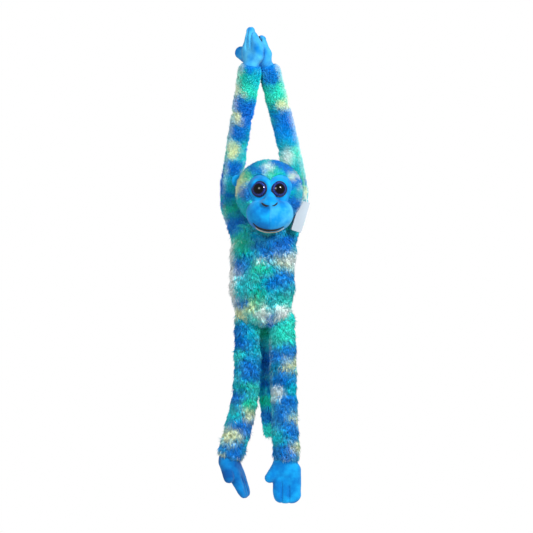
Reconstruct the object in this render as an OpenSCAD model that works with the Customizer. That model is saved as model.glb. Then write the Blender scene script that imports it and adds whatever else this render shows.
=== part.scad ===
// Long-limbed stuffed monkey that hangs by its fastened hands.
// Millimetres, +Z up, the face looks along -Y, the toy's right side is at -X.
// The origin is where the rail lies, in the crook under the joined hands.

/* [Head] */
// Radius of the round head
head_r = 44; // [42:0.5:45]
// Sideways lean of the head from the middle of the torso
head_lean = 7; // [4:0.5:7.5]
// Radius of the muzzle across its height
muzzle_r = 21; // [19:0.5:22]
// Width of the muzzle from cheek to cheek
muzzle_w = 65; // [58:1:68]
// Diameter of each safety eye
eye_d = 20.5; // [18:0.5:21]
// Distance between the middles of the eyes
eye_gap = 27; // [26:0.5:30]

/* [Torso] */
// Width of the torso
torso_w = 89; // [84:1:92]
// Depth of the chest, front to back
chest_depth = 55; // [50:1:57]
// Depth of the belly, front to back
belly_depth = 60; // [54:1:61]

/* [Arms] */
// Radius of an arm at the shoulder
arm_r = 15; // [14:0.5:15]
// Radius of an arm at the wrist
wrist_r = 14; // [12:0.5:14]
// Width of a hand across the three fingers
hand_w = 31; // [28:1:33]
// Length of a hand from the wrist pivot to the fingertip
hand_l = 55; // [50:1:58]
// Thickness of a hand
hand_t = 14; // [12:0.5:14]

/* [Legs] */
// Radius of a leg
leg_r = 15.5; // [14.5:0.5:15.5]
// Width of a foot across the three toes
foot_w = 38; // [34:1:40]
// Length of a foot from the ankle pivot to the toe tip
foot_l = 58; // [52:1:60]
// Thickness of a foot
foot_t = 17; // [15:0.5:18]

/* [Tail] */
// Radius of the tail at its root
tail_r = 8.3; // [7:0.1:8.3]

/* [Materials] */
// Thickness of the plush fabric
plush_t = 2; // [1.5:0.1:2.5]
// Thickness of the short-pile fabric of the hands and feet
velour_t = 1.4; // [1:0.1:1.6]

/* [Hidden] */

round_fn = 48;  // exact turned shapes
blend_fn = 24;  // spheres inside a hull
paw_fn = 14;    // spheres of the fingers and toes
far = 400;      // larger than the whole toy

// Colours
aqua = "mediumturquoise";
deep_blue = "royalblue";
hand_blue = "dodgerblue";
fill_white = "whitesmoke";

// Joints: a ball of stuffing turns in a cup with a little room around it
joint_gap = 0.3;
rim_angle = 45;     // where a sleeve ends on its ball, from the sleeve's own axis
rim_sink = 0.6;
taper = 1.25;       // length over which a sleeve narrows to its rim, in radii
shoulder_ball = 12.5;
elbow_ball = 11.5;
wrist_ball = 9.5;
hip_ball = 14;
knee_ball = 12;
ankle_ball = 10.5;
tail_ball = 6;
neck_ball = 13;

// Pivots on the toy's right side, or in the middle
shoulder_at = [-37, 10, -190];
right_bow_at = [-46, 29, -158];  // the upper arms bow out round the head
left_bow_at = [46, 29, -158];
right_elbow_at = [-38, 22, -88];
left_elbow_at = [35, 22, -88];
right_wrist_at = [-18, -6, 26];
left_wrist_at = [7, 9, 22];
hip_at = [-24.5, 0, -318];
right_knee_at = [-27, 0, -418];
right_ankle_at = [-47, 0, -505];
left_knee_at = [27, 0, -416];
left_ankle_at = [30, 0, -508];
neck_at = [4.5, -14, -190];
tail_at = [0, 26, -303];
tail_joints = [[1, 30, -355], [3, 31, -412], [9, 31, -474]];
head_at = [head_lean, -24, -145];

// Torso: rounded blocks at the shoulders, the chest, the belly and the seat
collar_at = [24, 4, -208];
collar_r = 20;
chest_r = chest_depth / 2;
belly_r = belly_depth / 2;
seat_r = 20;
seat_x = 14;
chest_z = -220;
belly_z = -274;
seat_z = -300;
belly_y = -2;
centre_seam_x = 2;
side_seam_y = 8;

// Face
muzzle_at = head_at + [0, -31, -27];
chin_drop = 4;
chin_r = muzzle_r - 1;
eye_up = 4;
eye_r = eye_d / 2;
eye_seat = head_r - 0.9;     // distance of the eye's flat back from the middle of the head
iris_t = 1.2;
lens_h = 5;
thread_r = 0.8;
shank_r = 2.5;
shank_l = 12;
washer_r = 8;
washer_t = 2;
washer_back = sqrt(pow(head_r - plush_t, 2) - pow(washer_r, 2)) - washer_t;
eye_yaw = asin(eye_gap / 2 / head_r);
eye_pitch = asin(eye_up / head_r);
ear_r = 9;
ear_t = 5;
right_ear_at = [0.5 - head_r, 3, 16];   // from the middle of the head, which
left_ear_at = [head_r - 2, 12, 15];     // looks a little to the toy's left

// Hands: both palms lie along one upright plane that is turned from the front
patch_t = 1;
patch_w = 15;
patch_l = 30;
palm_turn = -45;
palm_gap = 2 * patch_t + joint_gap;
palm_n = [cos(45), sin(45), 0];
right_palm_at = [-15, -6, 0];
left_palm_at = right_palm_at + (hand_t + palm_gap) * palm_n;
palm_up = 22;                // from the wrist pivot to the middle of the patch

// Folded card tag below the left ear, hanging by its top edge
tag_at = [57.5, -18, -157];
tag_w = 15;
tag_l = 42;
tag_t = 0.8;
tag_lean = 17;
tag_fold = 24;      // angle between the two leaves

function mirrored(p) = [-p[0], p[1], p[2]];
function in_palm(d) = [d * [cos(palm_turn), sin(palm_turn), 0], d * palm_n];

// ---- general shapes ----

// Puts a shape that runs up +Z from the origin onto the line from a to b
module along(a, b) {
    d = b - a;
    translate(a)
        rotate([0, acos(d[2] / norm(d)), atan2(d[1], d[0])])
            children();
}

// Turned sleeve of radius r1 to r2, whose ends run a little way into their balls;
// an end with ball 0 stays full width
module sleeve(len, r1, r2, ball1, ball2, inset) {
    rim1 = (ball1 - rim_sink) * sin(rim_angle);
    rim2 = (ball2 - rim_sink) * sin(rim_angle);
    start = ball1 == 0
        ? [[0, 0], [r1 - inset, 0]]
        : [[0, rim1], [rim1 - inset, rim1], [r1 - inset, taper * r1]];
    finish = ball2 == 0
        ? [[r2 - inset, len], [0, len]]
        : [[r2 - inset, len - taper * r2], [rim2 - inset, len - rim2], [0, len - rim2]];
    rotate_extrude($fn = round_fn)
        polygon(concat(start, finish));
}

module ball(at, r) {
    translate(at)
        sphere(r = r, $fn = round_fn);
}

module cup(at, r) {
    ball(at, r + joint_gap);
}

// Fabric tube of a limb segment from pivot a to pivot b
module limb_skin(a, b, r1, r2, ball1, ball2, own_ball = true) {
    color(aqua)
        difference() {
            along(a, b) sleeve(norm(b - a), r1, r2, ball1, ball2, 0);
            along(a, b) sleeve(norm(b - a), r1, r2, ball1, ball2, plush_t);
            if (own_ball) ball(a, ball1); else cup(a, ball1);
            cup(b, ball2);
        }
}

// Fibre filling of the same segment, with the ball that sits in the parent's cup
module limb_stuffing(a, b, r1, r2, ball1, ball2, own_ball = true) {
    color(fill_white)
        difference() {
            union() {
                along(a, b) sleeve(norm(b - a), r1, r2, ball1, ball2, plush_t);
                if (own_ball) ball(a, ball1);
            }
            if (!own_ball) cup(a, ball1);
            cup(b, ball2);
        }
}

// ---- torso ----

module torso_form(inset) {
    half = torso_w / 2;
    hull() {
        for (side = [-1, 1]) {
            translate([side * collar_at[0], collar_at[1], collar_at[2]])
                sphere(r = collar_r - inset, $fn = blend_fn);
            translate([side * (half - chest_r), 0, chest_z])
                sphere(r = chest_r - inset, $fn = blend_fn);
            translate([side * (half - belly_r), belly_y, belly_z])
                sphere(r = belly_r - inset, $fn = blend_fn);
            translate([side * seat_x, 2, seat_z])
                sphere(r = seat_r - inset, $fn = blend_fn);
        }
    }
}

module torso_cups() {
    cup(neck_at, neck_ball);
    cup(shoulder_at, shoulder_ball);
    cup(mirrored(shoulder_at), shoulder_ball);
    cup(hip_at, hip_ball);
    cup(mirrored(hip_at), hip_ball);
    cup(tail_at, tail_ball);
}

module torso_shell() {
    difference() {
        torso_form(0);
        torso_form(plush_t);
        torso_cups();
    }
}

// Block that keeps one side of the centre seam, in front of the side seams
module front_block(side) {
    translate([side > 0 ? centre_seam_x : centre_seam_x - far, side_seam_y - far, -far])
        cube([far, far, far]);
}

module torso_front_panel(side) {
    color(aqua)
        intersection() {
            torso_shell();
            front_block(side);
        }
}

module torso_back_panel() {
    color(deep_blue)
        intersection() {
            torso_shell();
            translate([-far / 2, side_seam_y, -far]) cube([far, far, far]);
        }
}

module torso_stuffing() {
    color(fill_white)
        difference() {
            torso_form(plush_t);
            torso_cups();
        }
}

// ---- head ----

module neck_core() {
    color(fill_white) ball(neck_at, neck_ball);
}

// Upright outline of the face opening, seen from the front, about the middle of the head
module face_outline() {
    brow_r = 14;
    for (side = [-1, 1])
        translate([side * 11, eye_up + 1]) circle(r = brow_r, $fn = round_fn);
    translate([-18, -32]) square([36, 36]);
}

module face_prism() {
    translate(head_at)
        rotate([90, 0, 0])
            linear_extrude(far / 4) face_outline();
}

module head_shell() {
    difference() {
        ball(head_at, head_r);
        ball(head_at, head_r - plush_t);
        cup(neck_at, neck_ball);
    }
}

module head_panel(side) {
    color(aqua)
        difference() {
            ball(head_at, head_r);
            translate([side > 0 ? head_at[0] - far : head_at[0], -far / 2, -far]) cube([far, far, far]);
            face_prism();
            ball(head_at, head_r - plush_t);
            cup(neck_at, neck_ball);
        }
}

// Puts a part that is drawn along +Z onto an eye's axis, from the middle of the head
module on_eye_axis(side) {
    translate(head_at)
        rotate([0, 0, side * eye_yaw])
            rotate([90 - eye_pitch, 0, 0])
                children();
}

module eye_shank() {
    translate([0, 0, eye_seat + iris_t - shank_l]) cylinder(r = shank_r, h = shank_l, $fn = round_fn);
}

module eye_washer_form() {
    translate([0, 0, washer_back]) cylinder(r = washer_r, h = washer_t, $fn = round_fn);
}

module face_panel() {
    color(hand_blue)
        difference() {
            intersection() {
                head_shell();
                face_prism();
            }
            for (side = [-1, 1])
                on_eye_axis(side) {
                    translate([0, 0, eye_seat]) cylinder(r = eye_r, h = lens_h, $fn = round_fn);
                    eye_shank();
                }
        }
}

module eye_lens(side) {
    dome_r = (pow(eye_r, 2) + pow(lens_h, 2)) / (2 * lens_h);
    color("black")
        on_eye_axis(side) {
            translate([0, 0, eye_seat + iris_t])
                intersection() {
                    translate([0, 0, lens_h - dome_r]) sphere(r = dome_r, $fn = round_fn);
                    cylinder(r = eye_r + 1, h = lens_h + 1, $fn = round_fn);
                }
            eye_shank();
        }
}

module eye_iris(side) {
    color("midnightblue")
        on_eye_axis(side)
            difference() {
                translate([0, 0, eye_seat]) cylinder(r = eye_r, h = iris_t, $fn = round_fn);
                eye_shank();
            }
}

module eye_washer(side) {
    color("gainsboro")
        on_eye_axis(side)
            difference() {
                eye_washer_form();
                eye_shank();
            }
}

module head_stuffing() {
    color(fill_white)
        difference() {
            ball(head_at, head_r - plush_t);
            cup(neck_at, neck_ball);
            for (side = [-1, 1])
                on_eye_axis(side) {
                    translate([0, 0, washer_back]) cylinder(r = washer_r, h = washer_r, $fn = round_fn);
                    eye_shank();
                }
        }
}

// Fat roll lying across the face, w wide and 2 r high
module roll(at, w, r) {
    translate(at)
        rotate([0, 90, 0])
            rotate_extrude($fn = round_fn)
                intersection() {
                    hull() {
                        translate([0, w / 2 - r]) circle(r = r, $fn = round_fn);
                        translate([0, r - w / 2]) circle(r = r, $fn = round_fn);
                    }
                    translate([0, -w]) square([w, 2 * w]);
                }
}

module muzzle_panel(side) {
    color(hand_blue)
        intersection() {
            difference() {
                roll(muzzle_at, muzzle_w, muzzle_r);
                roll(muzzle_at, muzzle_w - 2 * velour_t, muzzle_r - velour_t);
                ball(head_at, head_r);
            }
            translate([side > 0 ? head_at[0] : head_at[0] - far, -far / 2, -far])
                cube([far, far, far]);
        }
}

module muzzle_stuffing() {
    color(fill_white)
        difference() {
            roll(muzzle_at, muzzle_w - 2 * velour_t, muzzle_r - velour_t);
            ball(head_at, head_r);
        }
}

module chin() {
    color(deep_blue)
        difference() {
            roll(muzzle_at + [0, 6, -chin_drop], muzzle_w - 10, chin_r);
            roll(muzzle_at, muzzle_w, muzzle_r);
            ball(head_at, head_r);
            cup(neck_at, neck_ball);
        }
}

// Two nostrils and the lip line, standing just proud of the muzzle
module nose_and_mouth_stitches() {
    nostril_at = muzzle_at + [0, -15, 13.5];
    lip_r = 1.2;
    color("black")
        difference() {
            union() {
                for (side = [-1, 1])
                    translate(nostril_at + [side * 7, 0, 0])
                        rotate([0, 90 - side * 20, 0])
                            cylinder(r = 1.6, h = 8, center = true, $fn = round_fn);
                translate(muzzle_at + [0, -12, -muzzle_r * 0.82])
                    rotate([0, 90, 0])
                        cylinder(r = lip_r + 1, h = muzzle_w * 0.5, center = true, $fn = round_fn);
            }
            roll(muzzle_at, muzzle_w, muzzle_r);
            roll(muzzle_at + [0, 6, -chin_drop], muzzle_w - 10, chin_r);
            ball(head_at, head_r);
        }
}

module ear(side) {
    color(hand_blue)
        difference() {
            translate(head_at + (side < 0 ? right_ear_at : left_ear_at) - [0, ear_t / 2, 0])
                rotate([-90, 0, 0]) cylinder(r = ear_r, h = ear_t, $fn = round_fn);
            ball(head_at, head_r);
        }
}

// Clear plastic thread from the side of the head to the card
module tag_fastener() {
    anchor = head_at + [head_r - 3, 6, 2];
    color("white")
        difference() {
            along(anchor, tag_at) cylinder(r = thread_r, h = norm(tag_at - anchor) - 1, $fn = round_fn);
            ball(head_at, head_r);
        }
}

// Two leaves of card that meet at the fold, on the side away from the head
module hang_tag() {
    color("white")
        translate(tag_at)
            rotate([0, tag_lean, 0])
                translate([tag_w / 2, 0, -tag_l - joint_gap])
                    for (turn = [0, tag_fold])
                        rotate([0, 0, turn])
                            translate([-tag_w, 0, 0]) cube([tag_w, tag_t, tag_l]);
}

// ---- arms ----

// Upper arm from the shoulder s by way of the bow b to the elbow e
module upper_arm_form(s, b, e, inset) {
    along(s, b) sleeve(norm(b - s), arm_r, arm_r, shoulder_ball, 0, inset);
    ball(b, arm_r + 0.3 - inset);
    along(b, e) sleeve(norm(e - b), arm_r, arm_r, 0, elbow_ball, inset);
}

module upper_arm_skin(s, b, e) {
    color(aqua)
        difference() {
            upper_arm_form(s, b, e, 0);
            upper_arm_form(s, b, e, plush_t);
            ball(s, shoulder_ball);
            cup(e, elbow_ball);
        }
}

module upper_arm_stuffing(s, b, e) {
    color(fill_white)
        difference() {
            union() {
                upper_arm_form(s, b, e, plush_t);
                ball(s, shoulder_ball);
            }
            cup(e, elbow_ball);
        }
}

// Flat mitten with three fingers and a thumb: fingers up +Z, thumb at -X, palm at +Y.
// shift moves the palm away from the pivot, so that the wrist can lie to one side of it.
// shape is how far the outer fingers stop short, how far they close in at the tips, the thumb's radius.
module paw_form(w, l, t, pivot_ball, shift, shape, inset) {
    r = t / 2;
    finger_r = w / 6 + 0.6;
    heel = pivot_ball + r * 0.6;
    spread = w / 2 - r;
    knuckle = l * 0.62;
    thumb_r = shape[2];
    hull() {
        translate([0, 0, pivot_ball * 0.5]) sphere(r = pivot_ball * 0.8 - inset, $fn = paw_fn);
        for (x = [-spread, spread], z = [heel, knuckle - r / 2])
            translate([shift[0] + x, shift[1], z]) sphere(r = r - inset, $fn = paw_fn);
    }
    for (i = [-1, 0, 1])
        hull() {
            tip = l - finger_r - (i == 0 ? 0 : shape[0]);
            translate([shift[0] + i * w / 3.1, shift[1], knuckle - r])
                sphere(r = finger_r - inset, $fn = paw_fn);
            translate([shift[0] + i * (w / 3.1 - shape[1]), shift[1], tip])
                sphere(r = finger_r - inset, $fn = paw_fn);
        }
    hull() {
        translate([shift[0] - spread * 0.6, shift[1], heel + 2])
            sphere(r = thumb_r + 0.2 - inset, $fn = paw_fn);
        translate([shift[0] - w / 2 - 5, shift[1], heel + thumb_r * 2.2])
            sphere(r = thumb_r - inset, $fn = paw_fn);
    }
}

module paw_skin(w, l, t, pivot_ball, shift, shape) {
    color(hand_blue)
        difference() {
            paw_form(w, l, t, pivot_ball, shift, shape, 0);
            paw_form(w, l, t, pivot_ball, shift, shape, velour_t);
            sphere(r = pivot_ball, $fn = round_fn);
        }
}

module paw_stuffing(w, l, t, pivot_ball, shift, shape) {
    color(fill_white) {
        paw_form(w, l, t, pivot_ball, shift, shape, velour_t);
        sphere(r = pivot_ball, $fn = round_fn);
    }
}

hand_shape = [7, 4, 5.2];
foot_shape = [4, 1, 6.4];

// Palm offsets in each hand's own axes
right_palm_shift = [
    (right_palm_at - right_wrist_at) * [cos(palm_turn), sin(palm_turn), 0],
    (right_palm_at - right_wrist_at) * palm_n
];
left_palm_shift = [
    (left_palm_at - left_wrist_at) * [cos(palm_turn), sin(palm_turn), 0],
    (left_palm_at - left_wrist_at) * -palm_n
];

module at_right_hand() {
    translate(right_wrist_at) rotate([0, 0, palm_turn]) children();
}

module at_left_hand() {
    translate(left_wrist_at) rotate([0, 0, palm_turn + 180]) mirror([1, 0, 0]) children();
}

// Fastener patch on the palm; it stops at the palm's own surface
module patch(shift) {
    color("black")
        translate([shift[0] - patch_w / 2, shift[1] + hand_t / 2, palm_up - patch_l / 4])
            cube([patch_w, patch_t, patch_l * 0.9]);
}

// ---- feet ----

module at_right_foot() {
    translate(right_ankle_at)
        rotate([0, -23, 0])
            rotate([0, 0, -95])
                mirror([1, 0, 0])
                    rotate([180, 0, 0]) children();
}

module at_left_foot() {
    translate(left_ankle_at) rotate([180, 0, 0]) children();
}

// ---- tail ----

module tail_tip_form(inset) {
    a = tail_joints[1];
    b = tail_joints[2];
    tip_r = tail_r * 0.95;
    along(a, b) sleeve(norm(b - a) - tip_r, tail_r, tip_r, tail_ball, 0, inset);
    ball(b + (a - b) * tip_r / norm(b - a), tip_r + 0.2 - inset);
}

torso_front_panel(-1);  // torso_front_right_panel
torso_front_panel(1);  // torso_front_left_panel
torso_back_panel();
torso_stuffing();
neck_core();
head_panel(-1);  // head_right_panel
head_panel(1);  // head_left_panel
head_stuffing();
face_panel();
muzzle_panel(-1);  // muzzle_right_panel
muzzle_panel(1);  // muzzle_left_panel
muzzle_stuffing();
chin();
nose_and_mouth_stitches();
eye_lens(-1);  // right_eye_lens
eye_iris(-1);  // right_eye_iris
eye_washer(-1);  // right_eye_washer
eye_lens(1);  // left_eye_lens
eye_iris(1);  // left_eye_iris
eye_washer(1);  // left_eye_washer
ear(-1);  // right_ear
ear(1);  // left_ear
tag_fastener();
hang_tag();

upper_arm_skin(shoulder_at, right_bow_at, right_elbow_at);  // right_upper_arm_skin
upper_arm_stuffing(shoulder_at, right_bow_at, right_elbow_at);  // right_upper_arm_stuffing
limb_skin(right_elbow_at, right_wrist_at, arm_r, wrist_r, elbow_ball, wrist_ball);  // right_forearm_skin
limb_stuffing(right_elbow_at, right_wrist_at, arm_r, wrist_r, elbow_ball, wrist_ball);  // right_forearm_stuffing
at_right_hand() paw_skin(hand_w, hand_l, hand_t, wrist_ball, right_palm_shift, hand_shape);  // right_hand_skin
at_right_hand() paw_stuffing(hand_w, hand_l, hand_t, wrist_ball, right_palm_shift, hand_shape);  // right_hand_stuffing
at_right_hand() patch(right_palm_shift);  // hook_patch

upper_arm_skin(mirrored(shoulder_at), left_bow_at, left_elbow_at);  // left_upper_arm_skin
upper_arm_stuffing(mirrored(shoulder_at), left_bow_at, left_elbow_at);  // left_upper_arm_stuffing
limb_skin(left_elbow_at, left_wrist_at, arm_r, wrist_r, elbow_ball, wrist_ball);  // left_forearm_skin
limb_stuffing(left_elbow_at, left_wrist_at, arm_r, wrist_r, elbow_ball, wrist_ball);  // left_forearm_stuffing
at_left_hand() paw_skin(hand_w, hand_l, hand_t, wrist_ball, left_palm_shift, hand_shape);  // left_hand_skin
at_left_hand() paw_stuffing(hand_w, hand_l, hand_t, wrist_ball, left_palm_shift, hand_shape);  // left_hand_stuffing
at_left_hand() patch(left_palm_shift);  // loop_patch

color(fill_white) ball(hip_at, hip_ball);  // right_hip_core
limb_skin(hip_at, right_knee_at, leg_r, leg_r, hip_ball, knee_ball, false);  // right_thigh_skin
limb_stuffing(hip_at, right_knee_at, leg_r, leg_r, hip_ball, knee_ball, false);  // right_thigh_stuffing
limb_skin(right_knee_at, right_ankle_at, leg_r, leg_r, knee_ball, ankle_ball);  // right_shin_skin
limb_stuffing(right_knee_at, right_ankle_at, leg_r, leg_r, knee_ball, ankle_ball);  // right_shin_stuffing
at_right_foot() paw_skin(foot_w, foot_l, foot_t, ankle_ball, [0, 0], foot_shape);  // right_foot_skin
at_right_foot() paw_stuffing(foot_w, foot_l, foot_t, ankle_ball, [0, 0], foot_shape);  // right_foot_stuffing

color(fill_white) ball(mirrored(hip_at), hip_ball);  // left_hip_core
limb_skin(mirrored(hip_at), left_knee_at, leg_r, leg_r, hip_ball, knee_ball, false);  // left_thigh_skin
limb_stuffing(mirrored(hip_at), left_knee_at, leg_r, leg_r, hip_ball, knee_ball, false);  // left_thigh_stuffing
limb_skin(left_knee_at, left_ankle_at, leg_r, leg_r, knee_ball, ankle_ball);  // left_shin_skin
limb_stuffing(left_knee_at, left_ankle_at, leg_r, leg_r, knee_ball, ankle_ball);  // left_shin_stuffing
at_left_foot() paw_skin(foot_w, foot_l, foot_t, ankle_ball, [0, 0], foot_shape);  // left_foot_skin
at_left_foot() paw_stuffing(foot_w, foot_l, foot_t, ankle_ball, [0, 0], foot_shape);  // left_foot_stuffing

limb_skin(tail_at, tail_joints[0], tail_r, tail_r, tail_ball, tail_ball);  // tail_root_skin
limb_stuffing(tail_at, tail_joints[0], tail_r, tail_r, tail_ball, tail_ball);  // tail_root_stuffing
limb_skin(tail_joints[0], tail_joints[1], tail_r, tail_r, tail_ball, tail_ball);  // tail_middle_skin
limb_stuffing(tail_joints[0], tail_joints[1], tail_r, tail_r, tail_ball, tail_ball);  // tail_middle_stuffing
color(aqua)  // tail_tip_skin
        difference() {
            tail_tip_form(0);
            tail_tip_form(plush_t);
            ball(tail_joints[1], tail_ball);
        }
color(fill_white) {  // tail_tip_stuffing
        tail_tip_form(plush_t);
        ball(tail_joints[1], tail_ball);
    }
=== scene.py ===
"""Looks of the long-limbed hanging plush monkey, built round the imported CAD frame.

Shapes are smooth distance fields in millimetres, in the row frame: the face looks towards -Y and the toy's right
side is at -X. Each field is turned into a skin, coloured with dye or velour, and covered with pile."""

from collections import namedtuple

import bpy
import numpy as np
import openvdb
from mathutils import Matrix, Vector
from mathutils.bvhtree import BVHTree


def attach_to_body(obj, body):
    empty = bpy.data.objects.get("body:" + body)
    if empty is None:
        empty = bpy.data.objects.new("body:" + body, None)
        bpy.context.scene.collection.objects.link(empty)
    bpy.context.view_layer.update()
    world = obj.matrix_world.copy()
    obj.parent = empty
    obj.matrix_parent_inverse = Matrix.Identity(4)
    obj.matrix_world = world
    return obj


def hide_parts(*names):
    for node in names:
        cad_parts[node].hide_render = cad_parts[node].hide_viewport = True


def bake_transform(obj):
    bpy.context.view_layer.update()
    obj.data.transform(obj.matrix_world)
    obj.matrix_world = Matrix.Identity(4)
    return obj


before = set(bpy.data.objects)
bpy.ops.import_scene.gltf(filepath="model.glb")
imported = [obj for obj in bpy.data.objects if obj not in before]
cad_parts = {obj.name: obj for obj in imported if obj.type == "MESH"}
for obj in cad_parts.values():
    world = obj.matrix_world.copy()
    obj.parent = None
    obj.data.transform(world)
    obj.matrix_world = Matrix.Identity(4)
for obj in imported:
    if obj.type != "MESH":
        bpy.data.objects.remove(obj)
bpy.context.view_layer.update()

MM = 0.001
rng = np.random.default_rng(23)

# Places that the CAD part fixes, in millimetres
SHOULDER = {"right": (-37, 10, -190), "left": (37, 10, -190)}
BOW = {"right": (-45, 27, -156), "left": (45, 27, -156)}
ELBOW = {"right": (-38, 22, -88), "left": (35, 22, -88)}
WRIST = {"right": (-18, -6, 26), "left": (7, 9, 22)}
HIP = {"right": (-24.5, 0, -318), "left": (24.5, 0, -318)}
KNEE = {"right": (-27, 0, -418), "left": (27, 0, -416)}
ANKLE = {"right": (-47, 0, -505), "left": (30, 0, -508)}
TAIL = [(0, 26, -303), (1, 30, -355), (3, 31, -412), (9, 31, -474)]
NECK = (4.5, -14, -190)
HEAD = np.array((7.0, -24.0, -145.0))
TAG = (57.5, -18, -157)
MIDDLE = 8.3  # the face's own middle, a little to the toy's left
ARM_ROOT = {"right": (-29.97, 10, -195), "left": (33.3, 10, -194)}  # where the arm skins start, inside the torso
LEG_INWARD = {"right": 1.8, "left": 0.0}  # how far the leg's skin lies inward of its joints
FLOOR_Z = -640


# ---------------------------------------------------------------- numbers


def arr(*v):
    return np.array(v, float)


def unit(v):
    return v / np.maximum(np.linalg.norm(v, axis=-1, keepdims=True), 1e-9)


def ease(a, b, x):
    t = np.clip((x - a) / (b - a), 0, 1)
    return t * t * (3 - 2 * t)


def noise(p, scale, seed=0):
    """Smooth value noise between -1 and 1; each seed is another pattern."""
    q = np.asarray(p, float) / scale + seed * 17.31
    i = np.floor(q).astype(np.int64)
    f = q - i
    f = f * f * (3 - 2 * f)
    out = 0
    for dx in (0, 1):
        for dy in (0, 1):
            for dz in (0, 1):
                n = (i[..., 0] + dx) * 73856093 ^ (i[..., 1] + dy) * 19349663 ^ (i[..., 2] + dz) * 83492791
                n = ((n ^ (n >> 13)) * 1274126177) & 0x7FFFFFFF
                w = (f[..., 0] if dx else 1 - f[..., 0]) * (f[..., 1] if dy else 1 - f[..., 1])
                out = out + w * (f[..., 2] if dz else 1 - f[..., 2]) * (n / 0x3FFFFFFF - 1)
    return out


def linear(r, g, b):
    """Screen colour, 0 to 255, to the linear colour that shaders use."""
    c = np.array((r, g, b)) / 255
    return np.where(c <= 0.04045, c / 12.92, ((c + 0.055) / 1.055) ** 2.4)


# ---------------------------------------------------------------- distance fields


def ball(p, c, r):
    """Distance to a ball; the fields below take points first and sizes last too."""
    return np.linalg.norm(p - np.asarray(c, float), axis=-1) - r


def egg(p, c, r):
    """Near distance to an ellipsoid with three radii."""
    r = np.asarray(r, float)
    q = (p - np.asarray(c, float)) / r
    k = np.linalg.norm(q, axis=-1)
    return k * (k - 1) / np.maximum(np.linalg.norm(q / r, axis=-1), 1e-6)


def rod(p, a, b, ra, rb):
    """Distance to a round-ended rod from a to b that tapers from ra to rb."""
    a, b = np.asarray(a, float), np.asarray(b, float)
    t = np.clip(((p - a) @ (b - a)) / ((b - a) @ (b - a)), 0, 1)
    return np.linalg.norm(p - a - t[..., None] * (b - a), axis=-1) - (ra + (rb - ra) * t)


def meld(a, b, k):
    """Two fields joined, with the crease between them filled over a width k."""
    h = np.clip(0.5 + 0.5 * (b - a) / k, 0, 1)
    return b * (1 - h) + a * h - k * h * (1 - h)


def curve_through(points, count):
    """A smooth line through the points, as count points on it."""
    p = np.array(points, float)
    p = np.vstack([2 * p[0] - p[1], p, 2 * p[-1] - p[-2]])
    out = []
    for i in range(len(p) - 3):
        t = np.linspace(0, 1, count, endpoint=False)[:, None]
        a, b, c, d = p[i : i + 4]
        square, cube = 2 * a - 5 * b + 4 * c - d, 3 * b - a - 3 * c + d
        out.append(0.5 * (2 * b + (c - a) * t + square * t**2 + cube * t**3))
    return np.vstack([*out, p[-2][None]])


def tube(p, line, radii):
    """Distance to a tube round a line; radii holds a radius for each end and the places between."""
    share = np.linspace(0, 1, len(line))
    r = np.interp(share, np.linspace(0, 1, len(radii)), radii)
    out = None
    for i in range(len(line) - 1):
        d = rod(p, line[i], line[i + 1], r[i], r[i + 1])
        out = d if out is None else np.minimum(out, d)
    return out


def groove(d, depth, width):
    """What to add to a field for a soft groove where d is zero."""
    return depth * np.exp(-((d / width) ** 2))


# ---------------------------------------------------------------- meshes


class Skin:
    """A closed surface as points, outward normals and four-cornered faces."""

    def __init__(self, points, faces):
        self.points, self.faces = points, faces
        a, b, c, d = (points[faces[:, i]] for i in range(4))
        normal = np.cross(c - a, d - b)
        total = np.zeros_like(points)
        for i in range(4):
            np.add.at(total, faces[:, i], normal)
        self.normals = unit(total)

    def part(self, keep):
        """The faces for which keep is true."""
        used, where = np.unique(self.faces[keep], return_inverse=True)
        return Skin(self.points[used], where.reshape(-1, 4))

    def centres(self):
        return self.points[self.faces].mean(1)


def surface(field, low, high, step):
    """The zero surface of a distance field between two corners."""
    axes = [np.arange(l, h + step, step) for l, h in zip(low, high)]
    values = field(np.stack(np.meshgrid(*axes, indexing="ij"), -1)).astype(np.float32)
    grid = openvdb.FloatGrid(float(values.max()) + 1)
    grid.copyFromArray(values)
    points, quads = grid.convertToQuads(0.0)
    points = np.asarray(points, float) * step + np.array(low, float)
    quads = np.asarray(quads, np.int64)
    a, b, c, d = (points[quads[:, i]] for i in range(4))
    n = np.cross(c - a, d - b)
    middle = points.mean(0)
    if (n * ((a + c) / 2 - middle)).sum() < 0:
        quads = quads[:, ::-1]
    return Skin(points, quads)


def placed(skin, matrix):
    """The skin moved by a 3x3 turn and a shift, with its faces kept outward."""
    turn, shift = matrix
    points = skin.points @ np.array(turn).T + shift
    flip = np.linalg.det(np.array(turn)) < 0
    return Skin(points, skin.faces[:, ::-1] if flip else skin.faces)


def turn_about(axis, degrees):
    return np.array(Matrix.Rotation(np.radians(degrees), 3, axis))


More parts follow.
